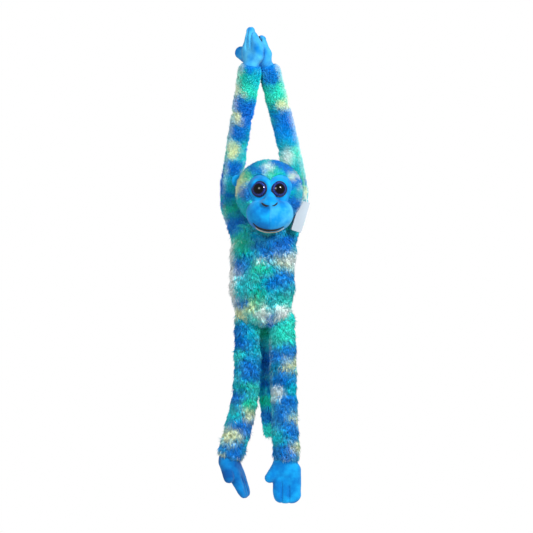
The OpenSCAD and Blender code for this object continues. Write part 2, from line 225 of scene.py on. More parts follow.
def new_mesh(name, points, faces, material, dye=None, uv=None):
    """A mesh object from points in millimetres and an array of equal-sized faces."""
    faces = np.asarray(faces)
    me = bpy.data.meshes.new(name)
    me.vertices.add(len(points))
    me.vertices.foreach_set("co", (np.asarray(points) * MM).astype(np.float32).ravel())
    n = faces.shape[1]
    me.loops.add(faces.size)
    me.loops.foreach_set("vertex_index", faces.astype(np.int32).ravel())
    me.polygons.add(len(faces))
    me.polygons.foreach_set("loop_start", np.arange(0, faces.size, n, dtype=np.int32))
    me.polygons.foreach_set("use_smooth", np.ones(len(faces), bool))
    me.update(calc_edges=True)
    if dye is not None:
        layer = me.attributes.new("dye", "FLOAT_COLOR", "POINT")
        layer.data.foreach_set("color", np.hstack([dye, np.ones((len(dye), 1))]).astype(np.float32).ravel())
    if uv is not None:
        layer = me.uv_layers.new(name="OFBake")
        layer.uv.foreach_set("vector", uv.astype(np.float32).ravel())
    me.materials.append(material)
    ob = bpy.data.objects.new(name, me)
    bpy.context.collection.objects.link(ob)
    return ob


def attach(ob, bodies, nodes=(), blend=None):
    """Puts a piece on its body, or leaves it fixed in place when it spans two, and hides the parts it stands for.
    """
    if blend is None:
        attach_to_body(ob, bodies)
    else:
        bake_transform(ob)
    if nodes:
        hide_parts(*nodes)


# ---------------------------------------------------------------- dye

BLUE, AZURE, TEAL = linear(0, 98, 212), linear(0, 150, 236), linear(0, 190, 202)
GREEN, AQUA, YELLOW = linear(10, 196, 150), linear(50, 224, 200), linear(242, 242, 184)
WHITE, FROST = linear(242, 250, 246), linear(120, 224, 240)
INK = {"B": BLUE, "A": AZURE, "T": TEAL, "G": GREEN, "Q": AQUA, "Y": YELLOW, "W": WHITE}

# Patches of dye on the toy's front: ink, x, z and radius in millimetres, one row to each part of the body
PATCHES = {
    "right arm": "B -17 24 9, G -27 11 9, T -15 8 8, Y -33 -6 4, Q -22 -8 6, B -32 -22 9, B -22 -34 9, Y -38 -38 4,"
    "Y -33 -46 5, B -21 -46 7, B -33 -63 10, Y -42 -88 6, T -30 -90 6, B -41 -113 9, T -45 -132 8, B -51 -151 9,"
    "G -45 -168 9, B -38 -187 11",
    "left arm": "B 5 24 8, B 9 7 8, Q 15 -9 10, Y 30 -25 6, Y 34 -17 4, B 28 -48 12, A 30 -68 12, T 27 -82 8,"
    "W 34 -97 7, Q 46 -95 8, T 46 -112 10, G 50 -128 8, Y 57 -146 7, B 44 -170 10",
    "head": "B -11 -115 9, T -3 -105 8, W 5 -113 5, G 15 -121 6, B 19 -109 7, B 30 -115 6, Y 37 -124 5,"
    "B 44 -132 9, T 48 -146 7, B 42 -161 9, Y -31 -130 8, G -22 -125 6, B -24 -146 7, Y -35 -144 6, T -30 -168 10,"
    # The white patches along the head's right edge, W 46 to 52, are pale tips with painted highlight on the lit
    # side
    "W 51 -141 4, W 52 -156 4, W 46 -124 3, W 50 -170 4",
    "chest": "B -45 -190 9, B -8 -213 11, B 15 -215 13, T -5 -201 9, B 28 -205 8, G -28 -215 11, W -42 -217 7,"
    "Y 22 -231 9, W 37 -227 8, B -28 -242 11, W -5 -234 4, G -8 -248 11, T 15 -243 8, B 19 -258 14",
    "belly": "T -22 -268 11, W -43 -250 8, W -44 -276 7, B -33 -290 7, G -10 -288 9, Y -18 -294 6, T 7 -281 10,"
    "Q 28 -277 11, W -3 -303 8, W 26 -299 8, Y -33 -304 7, B 9 -311 7",
    "right leg": "T -18 -330 7, B -30 -334 11, B -34 -350 9, Q -32 -363 7, B -21 -381 13, T -38 -392 7,"
    "G -23 -402 7, B -34 -417 10, G -19 -427 7, Y -21 -441 6, T -42 -441 7, B -27 -457 11, Y -43 -468 8,"
    "B -41 -491 11, W -31 -500 4, Y -60 -499 5",
    "left leg": "Q 29 -333 12, B 34 -349 8, B 20 -360 10, Y 37 -371 8, B 24 -394 12, T 36 -408 7, W 17 -412 6,"
    "B 31 -426 10, B 22 -446 10, Y 42 -446 7, B 33 -464 8, T 20 -473 7, Y 42 -484 7, B 27 -491 11, W 29 -505 5",
    "tail": "G 0 -333 7, B 1 -372 11, B 0 -405 9, G 2 -422 8, B 5 -444 9, Q 8 -465 8",
}


def dyed(p, part, front, depth=12.0):
    """Tie-dye colour at points: the part's own patches in front, mixed blotches round the back.
    front is the depth, along Y, where the patches start to give way, and depth how long that takes."""
    p = np.asarray(p, float)
    warp = np.stack([noise(p, 11, s) for s in (1, 2, 3)], -1) * 5
    warp += np.stack([noise(p, 4.2, s) for s in (4, 5, 6)], -1) * 3.2
    q = p + warp
    a = noise(q, 21, 7) + 0.45 * noise(q, 9, 8)
    b = noise(q, 17, 9) + 0.4 * noise(q, 7, 10)
    base = TEAL + (AQUA - TEAL) * ease(-0.1, 0.7, b)[:, None]
    base = base + (GREEN - base) * (0.8 * ease(0.15, 0.6, noise(q, 15, 12)))[:, None]
    back = base + (BLUE - base) * ease(0.0, 0.22, a)[:, None]
    back = back + (YELLOW - back) * (ease(0.38, 0.62, b) * ease(0.0, -0.3, a))[:, None]
    thin = 0.14  # how much the base counts between the patches
    total, weight = base * thin, np.full(len(p), thin)
    for word in [w for name in part for w in PATCHES[name].split(",")]:
        ink, x, z, r = word.split()
        d2 = (q[:, 0] - float(x)) ** 2 + (q[:, 2] - float(z)) ** 2
        w = np.exp(-((d2 / (1.1 * float(r)) ** 2) ** 1.1))
        if ink == "Y":
            w = w * 0.75
        total = total + INK[ink] * w[:, None]
        weight = weight + w
    if "arm" in part[0]:  # the arms' outer edges are bleached
        out = 1 if "left" in part[0] else -1
        arm_middle = np.interp(p[:, 2], (-190, -158, -88, 26), (37, 46, 37, 18 if out < 0 else 7))
        pale = 0.6 * ease(6, 13, out * p[:, 0] - arm_middle + 2 * noise(p, 6, 14)) * weight
        total, weight = total + WHITE * pale[:, None], weight + pale
    turned = ease(front, front + depth, p[:, 1] + 3 * noise(p, 9, 13))[:, None]
    return (total / weight[:, None]) * (1 - turned) + back * turned


# ---------------------------------------------------------------- materials


def material(name, roughness, sheen=0.0, colour=None):
    m = bpy.data.materials.new(name)
    m.use_nodes = True
    s = m.node_tree.nodes["Principled BSDF"]
    s.inputs["Roughness"].default_value = roughness
    s.inputs["Sheen Weight"].default_value = sheen
    s.inputs["Sheen Roughness"].default_value = 0.5
    s.inputs["Specular IOR Level"].default_value = 0.2
    if colour is not None:
        s.inputs["Base Color"].default_value = (*colour, 1)
    return m, m.node_tree, s


def dye_material(name, sheen):
    """Reads the dye laid down in the mesh."""
    m, tree, s = material(name, 0.9, sheen)
    s.inputs["Specular IOR Level"].default_value = 0.03
    dye = tree.nodes.new("ShaderNodeAttribute")
    dye.attribute_name = "dye"
    tree.links.new(dye.outputs["Color"], s.inputs["Base Color"])
    return m


def velour(name, colour, light, grain, above=None):
    """Very short pile: a plain colour with lighter brushed areas and a fine grain.
    above, if given, is the two colours of the cloth higher up, and the heights between which they take over."""
    m, tree, s = material(name, 0.8, 0.12)
    s.inputs["Specular IOR Level"].default_value = 0.05
    place = tree.nodes.new("ShaderNodeTexCoord")
    brushed = tree.nodes.new("ShaderNodeTexNoise")
    brushed.inputs["Scale"].default_value = 60
    brushed.inputs["Detail"].default_value = 5
    link = tree.links.new

    def mottled(dark, pale):
        ramp = tree.nodes.new("ShaderNodeValToRGB")
        ramp.color_ramp.elements[0].position, ramp.color_ramp.elements[1].position = 0.36, 0.68
        ramp.color_ramp.elements[0].color, ramp.color_ramp.elements[1].color = (*dark, 1), (*pale, 1)
        link(brushed.outputs["Fac"], ramp.inputs["Fac"])
        return ramp.outputs["Color"]

    shown = mottled(colour, light)
    if above is not None:
        dark, pale, start, end = above
        split, fade, mix = (tree.nodes.new(f"ShaderNode{n}") for n in ("SeparateXYZ", "MapRange", "Mix"))
        fade.inputs["From Min"].default_value = start * MM
        fade.inputs["From Max"].default_value = end * MM
        mix.data_type = "RGBA"
        link(place.outputs["Object"], split.inputs[0])
        link(split.outputs["Z"], fade.inputs["Value"])
        link(fade.outputs[0], mix.inputs[0])
        link(shown, mix.inputs[6])
        link(mottled(dark, pale), mix.inputs[7])
        shown = mix.outputs[2]
    fine = tree.nodes.new("ShaderNodeTexNoise")
    fine.inputs["Scale"].default_value = grain
    fine.inputs["Detail"].default_value = 2
    bump = tree.nodes.new("ShaderNodeBump")
    bump.inputs["Strength"].default_value = 0.35
    bump.inputs["Distance"].default_value = 0.0006
    link(place.outputs["Object"], brushed.inputs["Vector"])
    link(place.outputs["Object"], fine.inputs["Vector"])
    link(shown, s.inputs["Base Color"])
    link(fine.outputs["Fac"], bump.inputs["Height"])
    link(bump.outputs["Normal"], s.inputs["Normal"])
    return m


plush = dye_material("tie_dye_plush", 0.03)
NAP, WEAVE = 900, 2200  # how fine the grain is
sky_tones = linear(0, 108, 182), linear(18, 160, 222)
# The paler tones are painted light, for the lower part of the muzzle's left half, the side the light falls on
lit_tones = linear(8, 134, 206), linear(74, 182, 228)
sky = velour("azure_velour", *sky_tones, NAP)
sky_painted_light = velour("azure_velour_painted_light", *lit_tones, NAP, (*sky_tones, -168, -158))
sky_hands = velour("azure_velour_hands", linear(4, 120, 200), linear(76, 178, 226), NAP)
# A darker copy of the velour, painted shade, worn by the right foot
sky_shade = velour("azure_velour_painted_shade", linear(0, 74, 142), linear(8, 122, 190), NAP)
thread, _, _ = material("black_thread", 0.45, 0.2, linear(10, 10, 14))
lip, _, _ = material("lip_edge", 0.8, 0.2, linear(200, 190, 165))
tape = velour("hook_and_loop_tape", linear(8, 8, 10), linear(26, 26, 30), WEAVE)
card, _, _ = material("card", 0.5, 0.0, linear(176, 188, 198))
nylon, _, _ = material("nylon", 0.4, 0.0, linear(235, 235, 235))


# ---------------------------------------------------------------- pile


# A kind of pile: its slot, the length and radius of a tuft, how steeply it rises, and how pale its tip is
Pile = namedtuple("Pile", "slot length radius rise tips")
TORSO_PILE = Pile("long_pile_plush", 8.8, 0.72, 0.45, 0.6)
LEG_PILE = Pile("long_pile_plush", 8.5, 0.72, 0.45, 0.5)
TAIL_PILE = Pile("long_pile_plush", 7.0, 0.75, 0.45, 0.4)
ARM_PILE = Pile("short_pile_plush", 3.6, 0.62, 0.8, 0.3)
HEAD_PILE = Pile("short_pile_plush", 3.8, 0.62, 0.75, 0.35)
CHIN_PILE = Pile("short_pile_plush", 3.4, 0.6, 0.5, 0.1)
DOWN = (0, 0, -1)


def pile(name, skin, colour, bodies, kind, flow, blend=None, cuff=None, where=None):
    """Tufts of pile as thin closed cones: one to a face of the skin, drawn into locks and lying along flow.
    cuff is a place, a direction and the distance along it where the sleeve ends; where picks faces by centre."""
    slot, length, radius, rise, tips = kind
    f = skin.faces if where is None else skin.faces[where(skin.centres())]
    if cuff is not None:
        f = f[(skin.points[f].mean(1) - cuff[0]) @ cuff[1] < cuff[2] - 0.8]
    u, v = rng.uniform(0.05, 0.95, (2, len(f), 1))
    a, b, c, d = (skin.points[f[:, i]] for i in range(4))
    p = (a * (1 - u) + b * u) * (1 - v) + (d * (1 - u) + c * u) * v
    n = unit(sum(skin.normals[f[:, i]] for i in range(4)))
    count = len(p)
    # Locks: points that share a cell of a bent grid are drawn together, and share a lie and a shade
    cell = 2.6 + 0.32 * length
    strength = ease(2, 8, length)
    bent = p + 0.8 * cell * np.stack([noise(p, 1.7 * cell, s) for s in (21, 22, 23)], -1)
    key = np.floor(bent / cell)
    lock = [noise(key * 9.7, 5, s) for s in range(25, 32)]
    centre = (key + 0.5) * cell + 0.3 * cell * np.stack(lock[:3], -1)
    pull = centre - p
    pull = pull - (pull * n).sum(1, keepdims=True) * n
    lie = flow(p) if callable(flow) else np.broadcast_to(np.array(flow, float), p.shape)
    t = unit(lie) + (0.3 + 0.5 * strength) * np.stack(lock[3:6], -1) + 0.28 * rng.normal(size=p.shape)
    t = unit(t - (t * n).sum(1, keepdims=True) * n)
    size = length * (1 + 0.28 * lock[6] + 0.2 * rng.normal(size=count)).clip(0.4, 1.6)
    if cuff is not None:
        size = size * (0.35 + 0.65 * ease(1, 11, cuff[2] - (p - cuff[0]) @ cuff[1]))
    lift = rise * (1 + 0.35 * lock[0][:, None] + 0.2 * rng.normal(size=(count, 1))).clip(0.3, 1.8)
    d0 = unit(n * lift + t * (1 - rise))
    d1 = unit(n * lift * 0.35 + t * (1 - 0.5 * rise) + arr(0, 0, -0.12))
    root = p - n * 0.5
    mid = root + d0 * (0.5 * size[:, None]) + pull * 0.2 * strength
    tip = mid + d1 * (0.6 * size[:, None]) + pull * (0.08 + 0.26 * strength)
    side = unit(np.cross(d0, rng.normal(size=p.shape)))
    other = np.cross(d0, side)
    r = radius * (1 + 0.2 * rng.normal(size=(count, 1))).clip(0.5, 1.5)
    ring = [np.cos(x) * side + np.sin(x) * other for x in (0, 2.0944, 4.1888)]  # a third of a turn apart
    points = np.stack([root + w * r for w in ring] + [mid + w * r * 0.75 for w in ring] + [tip], 1)
    base = np.arange(count)[:, None, None] * 7
    cone = [(0, 2, 1)]
    for i in range(3):
        j = (i + 1) % 3
        cone += [(i, j, 3 + j), (i, 3 + j, 3 + i), (3 + i, 3 + j, 6)]
    faces = (base + np.array(cone)[None]).reshape(-1, 3)
    root_colour = colour(p + rng.normal(size=p.shape) * 1.3)
    # Tips are pale, most of all in green and aqua locks, and not at all where the dye is pale already
    bleach = 0.35 + 0.8 * lock[1] + 0.4 * noise(p, 14, 28) + 0.25 * rng.normal(size=count)
    pale = (tips * bleach).clip(0, 0.9)[:, None]
    pale = pale * (root_colour[:, :1] < 0.5) * (0.45 + 0.7 * ease(0.12, 0.45, root_colour[:, 1:2]))
    tip_colour = root_colour + (FROST - root_colour) * pale
    shade = 1.06 + (0.1 + 0.2 * strength) * lock[2][:, None] + 0.08 * rng.normal(size=(count, 1))
    shade = shade.clip(0.55, 1.35)
    # Roots are darkened as painted shade deep in the pile, and tips brightened a little as painted light
    deep = 0.85 - 0.25 * strength * (1 - root_colour[:, :1])
    halfway = root_colour * 0.75 + tip_colour * 0.25
    dye = np.stack([root_colour * deep] * 3 + [halfway] * 3 + [tip_colour * 1.1], 1)
    dye = (dye * shade[:, None]).clip(0, 1).reshape(-1, 3)
    # One small square of the bake's map to each tuft
    side_count = int(np.ceil(np.sqrt(count)))
    corner = np.stack([np.arange(count) % side_count, np.arange(count) // side_count], -1) / side_count
    flat = np.array([(0.1, 0.05), (0.9, 0.05), (0.5, 0.0)])
    spots = [flat]
    for i in range(3):
        x0, x1 = 0.05 + 0.3 * i, 0.35 + 0.3 * i
        spots += [
            np.array([(x0, 0.1), (x1, 0.1), (x1, 0.5)]),
            np.array([(x0, 0.1), (x1, 0.5), (x0, 0.5)]),
            np.array([(x0, 0.5), (x1, 0.5), ((x0 + x1) / 2, 0.95)]),
        ]
    uv = corner[:, None] + np.concatenate(spots)[None] / side_count
    ob = new_mesh(name, points.reshape(-1, 3), faces, plush, dye, uv.reshape(-1, 2))
    attach(ob, bodies, blend=blend)


def plush_skin(name, skin, colour, bodies, nodes, blend=None, dark=0.7):
    """The backing under the pile, in the same dye but darker, as painted shade under the pile."""
    ob = new_mesh(name, skin.points, skin.faces, plush, (colour(skin.points) * dark).clip(0, 1))
    attach(ob, bodies, nodes, blend)


def smooth_skin(name, skin, look, body, nodes):
    """A piece of velour or tape."""
    ob = new_mesh(name, skin.points, skin.faces, look)
    attach(ob, body, nodes)


# ---------------------------------------------------------------- torso


SEAM_X = 3  # the front seam


def side_seam(p):
    """How far in front of the side seams a point is."""
    return 8 + 0.17 * p[..., 0] - p[..., 1]


def torso_field(p):
    """Chest, flanks, hips, belly and shoulders, then hip ends, neck and seat, all made a pile's depth smaller,
    with seams and lumps."""
    x, y = p[..., 0], p[..., 1]
    f = None
    for side in (-1, 1):
        for a, b, ra, rb in (
            ((side * 22.5 - 0.5, 4, -206), (side * 17 - 1, 0, -224), 19.5, 26),
            ((side * 17 - 1, 0, -224), (side * 13.5 - 3, -3, -272), 26.5, 28.5),
            ((side * 13.5 - 3, -3, -272), (side * 14 - 1.5, 1, -296), 28.5, 24.5),
            ((0, 1, -218), (-2.5, -4, -276), 26, 30.5),
            ((side * 35.5, 10, -190), (side * 23.5, 4, -212), 13.6, 18),
        ):
            d = rod(p, a, b, ra, rb)
            f = d if f is None else meld(f, d, 7)
        f = meld(f, ball(p, (side * 24.5, 0, -314), 15), 6)
    f = meld(f, ball(p, NECK, 14), 6)
    f = meld(f, egg(p, (0.5, -5, -300), (34, 27, 25)), 8) + 3.8
    f = f + groove(x - SEAM_X, 1.8, 2.0) * ease(6, -6, y)
    f = f + groove(0.5 * noise(p, 20, 31) - side_seam(p), 1.3, 2.0)
    return f + 0.9 * noise(p, 17, 32) + 0.35 * noise(p, 7, 33)


def torso_colour(p):
    # The two front panels are cut from different places, so the dye breaks at the front seam
    c = dyed(p + arr(0, 0, 1) * np.where(p[:, :1] < SEAM_X, -2.5, 2.5), ("chest", "belly"), 6)
    bleached = ease(-34, -41, p[:, 0] + 2 * noise(p, 6, 34)) * ease(-205, -215, p[:, 2]) * ease(12, 0, p[:, 1])
    return c + (WHITE - c) * 0.8 * bleached[:, None]


def leg_colour(p, side):
    """The leg's dye; the left leg is pale along its inner edge, whitish pile greyed there as painted shade."""
    c = dyed(p, (f"{side} leg",), 4)
    if side == "left":
        inner = (ease(15, 9, p[:, 0]) * ease(12, 0, p[:, 1]) * ease(-330, -345, p[:, 2]))[:, None]
        # A greyed white: pale pile with painted shade
        c = c + (WHITE * 0.8 - c) * 0.6 * inner
    return c


torso = surface(torso_field, (-58, -42, -338), (58, 40, -172), 1.4)
middle = torso.centres()
in_front = side_seam(middle) > 0
for panel, keep in (
    ("torso_front_right_panel", in_front & (middle[:, 0] < SEAM_X)),
    ("torso_front_left_panel", in_front & (middle[:, 0] >= SEAM_X)),
    ("torso_back_panel", ~in_front),
):
    part = torso.part(keep)
    stood_for = [panel] + (["torso_stuffing"] if panel == "torso_back_panel" else [])
    skin_name = panel.replace("panel", "plush")
    plush_skin(skin_name, part, torso_colour, "torso", stood_for, dark=0.6)
    for layer in ("under", "over"):
        pile(panel.replace("panel", f"{layer}_pile"), part, torso_colour, "torso", TORSO_PILE, (0, -0.1, -1))


# ---------------------------------------------------------------- limbs and tail


def box_round(line, pad):
    line = np.array(line)
    return tuple(line.min(0) - pad), tuple(line.max(0) + pad)


def limb(points, radii, folds, seed, step, cuff=None):
    """A stuffed sleeve along points. A fold is its place, direction, depth and width; cuff is as for pile."""
    line = curve_through(points, 7)

    def field(p):
        f = tube(p, line, radii)
        for place, along, depth, width in folds:
            f = f + groove((p - arr(*place)) @ unit(arr(*along)) + 1.5 * noise(p, 10, seed + 5), depth, width)
        f = f + 0.7 * noise(p, 15, seed) + 0.3 * noise(p, 6, seed + 1)
        if cuff is not None:
            f = -meld(-f, -((p - cuff[0]) @ cuff[1] - cuff[2] + noise(p, 7, seed + 2)), 3)
        return f

    low, high = box_round(line, max(radii) + 4)
    return surface(field, low, high, step)


def between(a, b, t):
    return tuple(arr(*a) * (1 - t) + arr(*b) * t)


FOLDS = {
    "right": [((-30, -6, -40), (0.5, 0, 1), 1.6, 2.6), ((-38, 22, -88), (0, 0, 1), 0.8, 4)],
    "left": [((35, 22, -88), (0.2, 0, 1), 0.9, 4), ((14, 9, -6), (-0.3, 0, 1), 0.8, 3)],
}
ARM_RADII = {
    "right": (13.0, 13.6, 12.8, 12.8, 12.6, 13.8, 14.2, 12.6),
    "left": (13.0, 13.4, 13.2, 13.0, 12.8, 13.2, 13.0, 11.6),
}
CUFF_PAST_WRIST = {"right": 2.5, "left": 7.0}
for side in ("right", "left"):
    b, e, w = BOW[side], ELBOW[side], WRIST[side]
    up = unit(arr(*w) - arr(*e))
    cuff = (arr(*w), up, CUFF_PAST_WRIST[side])
    end = tuple(arr(*w) + up * 12) if side == "right" else (1.5, 5, 35)
    arm = limb((ARM_ROOT[side], b, e, w, end), ARM_RADII[side], FOLDS[side], 40, 1.3, cuff)
    colours = lambda p, side=side: dyed(p, (f"{side} arm",), 14 if side == "right" else 18)
    joint = (between(e, b, 0.22), between(e, w, 0.16))
    pair = (f"{side}_upper_arm", f"{side}_forearm")
    nodes = [f"{body}_{layer}" for body in pair for layer in ("skin", "stuffing")]
    plush_skin(f"{side}_arm_plush", arm, colours, pair, nodes, joint)
    pile(f"{side}_arm_pile", arm, colours, pair, ARM_PILE, up * 0.6, joint, cuff)

CUFF_ABOVE_ANKLE = 1.0
for side in ("right", "left"):
    h, k, a = HIP[side], KNEE[side], ANKLE[side]
    down = unit(arr(*a) - arr(*k))
    cuff = (arr(*a), down, -CUFF_ABOVE_ANKLE)
    inward = arr(LEG_INWARD[side], 0, 0)
    line = (arr(*h) + inward, arr(*k) + inward, arr(*a) + down * 12)
    leg = limb(line, (12.6, 13.8, 13.6, 13.6, 14.0, 14.0), [(k, down, 0.8, 4)], 50, 1.35, cuff)
    colours = lambda p, side=side: leg_colour(p, side)
    joint = (between(k, h, 0.16), between(k, a, 0.18))
    pair = (f"{side}_thigh", f"{side}_shin")
    nodes = [f"{side}_hip_core"] + [f"{body}_{layer}" for body in pair for layer in ("skin", "stuffing")]
    plush_skin(f"{side}_leg_plush", leg, colours, pair, nodes, joint, 0.6)
    for layer in ("under", "over"):
        pile(f"{side}_leg_{layer}_pile", leg, colours, pair, LEG_PILE, DOWN, joint, cuff)


def tail_colour(p):
    """The tail's dye, brightened as painted light to make up for the shade it hangs in between the legs."""
    c = 2.2 * dyed(p, ("tail",), 36)
    return c / np.maximum(c.max(1, keepdims=True) / 0.95, 1)


root = limb(TAIL[:3], (8.0, 7.8, 7.6), [], 60, 1.3)
pair = ("tail_root", "tail_middle")
nodes = [f"{body}_{layer}" for body in pair for layer in ("skin", "stuffing")]
joint = (between(TAIL[1], TAIL[0], 0.15), between(TAIL[1], TAIL[2], 0.15))
plush_skin("tail_plush", root, tail_colour, pair, nodes, joint)
pile("tail_pile", root, tail_colour, pair, TAIL_PILE, DOWN, joint)
line = (TAIL[2], between(TAIL[2], TAIL[3], 0.5), between(TAIL[2], TAIL[3], 0.87))
tip = limb(line, (7.6, 7.6, 7.0), [], 62, 1.3)
plush_skin("tail_tip_plush", tip, tail_colour, "tail_tip", ["tail_tip_skin", "tail_tip_stuffing"])
pile("tail_tip_pile", tip, tail_colour, "tail_tip", TAIL_PILE, DOWN)


# ---------------------------------------------------------------- hands and feet


def paw(w, l, t, heel_r, shift, corner, point, thumb, grooves, taper=0.16):
    """A mitten with fingers up +Z, thumb at -X and palm at +Y, as a padded slab round a flat outline.
    w, l and t are its size; heel_r rounds the wrist; corner rounds the outline; shift moves it off the wrist.
    point is where the fingers close in to, with its radius, or None for toes that end square.
    thumb is its root, its tip, their radii and how far it stands towards the palm.
    A groove between fingers is its place across, where it starts and its slant. taper thins the fingers."""
    sx, sy = shift
    heel = 4.0 if point else 0.5
    top = l if point is None else l * 0.64
    knuckle = l * 0.5

    def field(p):
        flat = p * arr(1, 0, 1) - arr(sx, 0, 0)
        q = np.abs(flat - arr(0, 0, (heel + top) / 2)) - arr(w / 2 - corner, 0, (top - heel) / 2 - corner)
        q = q[..., [0, 2]]
        d = np.linalg.norm(np.maximum(q, 0), axis=-1) + np.minimum(q.max(-1), 0) - corner
        if point is not None:
            x, r = point
            d = meld(d, rod(flat, (0, 0, l * 0.5), (x, 0, l - r), w / 2 - 0.5, r), 5)
        lobe = rod(flat, *thumb[:4])
        half = t / 2 * (1 + 0.12 * ease(knuckle, heel, p[..., 2]) - taper * ease(knuckle - 8, l, p[..., 2]))
        crown = 1.0 * ease(0, -w * 0.3, d)
        slab = np.hypot(np.maximum(d + half, 0), p[..., 1] - sy) - half - crown
        f = np.hypot(np.maximum(lobe + half, 0), p[..., 1] - sy - thumb[4]) - half
        f = meld(slab, f, 2.2)
        f = meld(f, rod(p, (0, 0, 0), (sx * 0.7, sy * 0.8, heel_r * 0.9), heel_r, t / 2 + 2), 7)
        for x, start, lean in grooves:
            line = flat[..., 0] - x - lean * (p[..., 2] - start)
            shown = ease(start - 3, start + 5, p[..., 2]) * (1 - 0.7 * ease(l - 8, l - 1, p[..., 2]))
            f = f + groove(line, 2.3, 1.5) * shown
        return f + 0.45 * noise(p, 8, 71)

    low = (sx - w / 2 - 22, min(sy, 0) - heel_r - 12, -heel_r - 3)
    high = (sx + w / 2 + 8, max(sy, 0) + heel_r + 12, l + 4)
    return surface(field, low, high, 0.85)


def velour_paw(body, form, place, look):
    nodes = [f"{body}_skin", f"{body}_stuffing"]
    smooth_skin(f"{body}_velour", placed(paw(*form), place), look, body, nodes)


# The palms face each other across a slanted plane; each hand is off its wrist by what brings the palms together
FLIP = np.diag([-1.0, 1, 1])
PALM_GAP = 16.3
palm_n = arr(1, 1, 0) / np.sqrt(2)
palm_x = arr(1, -1, 0) / np.sqrt(2)
right_palm = arr(-15, -6, 0)
right_off = right_palm - arr(*WRIST["right"][:2], 0)
left_off = right_palm + PALM_GAP * palm_n - arr(*WRIST["left"][:2], 0)
HANDS = {
    "right": (turn_about("Z", -45), (right_off @ palm_x, right_off @ palm_n), "hook_patch"),
    "left": (turn_about("Z", 135) @ FLIP, (left_off @ palm_x, left_off @ -palm_n), "loop_patch"),
}
# Width, length, where the fingers close in to, thumb and grooves
HAND_FORM = {
    "right": (
        35, 54.5, (-4.0, 6.6), ((-8, 0, 13), (-25.5, 0, 20.5), 12.5, 8.8, 2.6), ((-5.5, 24, 0.06), (3.5, 24, -0.1)),
    ),
    "left": (
        33, 47.5, (1.0, 6.0), ((-8, 0, 8), (-17, 0, 16), 8.5, 6.0, 0.0), ((-4.5, 24, 0.06), (4.5, 24, -0.06)),
    ),
}
PATCH_HALF, PATCH_START = arr(7.0, 0.9, 13.5), 14.5  # half sizes, and where it starts above the wrist
for side, (turn, shift, patch) in HANDS.items():
    w, l, point, thumb, grooves = HAND_FORM[side]
    place = (turn, arr(*WRIST[side]))
    velour_paw(f"{side}_hand", (w, l, 13, 10.8, shift, 11, point, thumb, grooves), place, sky_hands)
    x0, z0 = shift[0], PATCH_START + PATCH_HALF[2]

    def pad(p):
        q = np.abs(p - arr(x0, shift[1] + 7.0, z0)) - (PATCH_HALF - arr(2, 0.5, 2))
        flat = np.linalg.norm(np.maximum(q[..., [0, 2]], 0), axis=-1) - 2
        return np.maximum(flat, q[..., 1] - 0.5)

    patch_skin = surface(pad, (x0 - 9, shift[1] + 4, z0 - 16), (x0 + 9, shift[1] + 10, z0 + 16), 0.5)
    patch_name = patch.replace("patch", "tape")
    smooth_skin(patch_name, placed(patch_skin, place), tape, f"{side}_hand", [patch])

upside = turn_about("X", 180)
# How the foot is turned, its thickness, how far the thumb toe is folded in, its taper and its velour
FEET = {
    # The right foot wears the darker velour, as painted shade
    "right": (turn_about("Y", -24) @ turn_about("Z", -105) @ FLIP @ upside, 14.5, 5.0, 0.5, sky_shade),
    "left": (upside, 15, 1.5, 0.16, sky),
}
for side, (turn, thick, fold, taper, look) in FEET.items():
    toe = ((-9, 0, 8), (-23.5, 0, 23), 12, 6.8, fold)
    form = (38, 57.5, thick, 14.2, (1.2, 0), 12.5, None, toe, ((-7.5, 27, 0), (2.5, 31, 0)), taper)
    velour_paw(f"{side}_foot", form, (turn, arr(*ANKLE[side])), look)


# ---------------------------------------------------------------- head


def on_face(p):
    """How far inside the plain face panel a point is, seen from the front."""
    x, z = np.abs(p[..., 0] - MIDDLE), p[..., 2]
    arcs = np.hypot(x - 13.5, z + 137.5) - 15.5
    cheeks = np.maximum(x - 28 + 0.25 * np.maximum(-140 - z, 0), np.abs(z + 158) - 22)
    return -meld(arcs, cheeks, 4)


def head_field(p):
    """A ball with the sewn-in face panel, its two brow arcs, the crown seam and sockets for the eyes."""
    x, y, z = p[..., 0], p[..., 1], p[..., 2]
    f = egg(p, HEAD, (43.5, 43, 43))
    inside = on_face(p)
    front = ease(-30, -42, y)
    f = f + groove(inside, 1.5, 1.6) * front
    f = f - 0.9 * ease(0, 5, inside) * front
    brow = np.abs(np.hypot(np.abs(x - MIDDLE) - 13.3, z + 141) - 13)
    f = f - 2.6 * np.exp(-((brow / 3.2) ** 2)) * ease(-146, -134, z) * front
    f = f + groove(x - MIDDLE - 0.7, 1.3, 1.8) * (1 - ease(-3, 3, inside) * front) * ease(-150, -135, z)
    f = f + 0.7 * noise(p, 15, 81) * (1 - 0.7 * ease(0, 4, inside) * front) + 0.25 * noise(p, 6, 82)
    for side in (-1, 1):
        eye = HEAD + eye_axis(side) * 42.5
        f = np.maximum(f, -(ball(p, eye + eye_axis(side) * 6.5, 8.8)))
    return f


def eye_axis(side):
    """Where an eye looks; side is -1 for the toy's right."""
    yaw, pitch = np.arcsin(13.5 / 44), np.arcsin(4 / 44)
    return arr(side * np.sin(yaw) * np.cos(pitch), -np.cos(yaw) * np.cos(pitch), np.sin(pitch))


def head_colour(p):
    return dyed(p, ("head",), -22, 16)


def head_flow(p):
    """The head's pile is brushed away from the nose and back."""
    away = p - arr(MIDDLE, -66, -150)
    return away * arr(1, 0.6, 1) + arr(0, 12, -6)


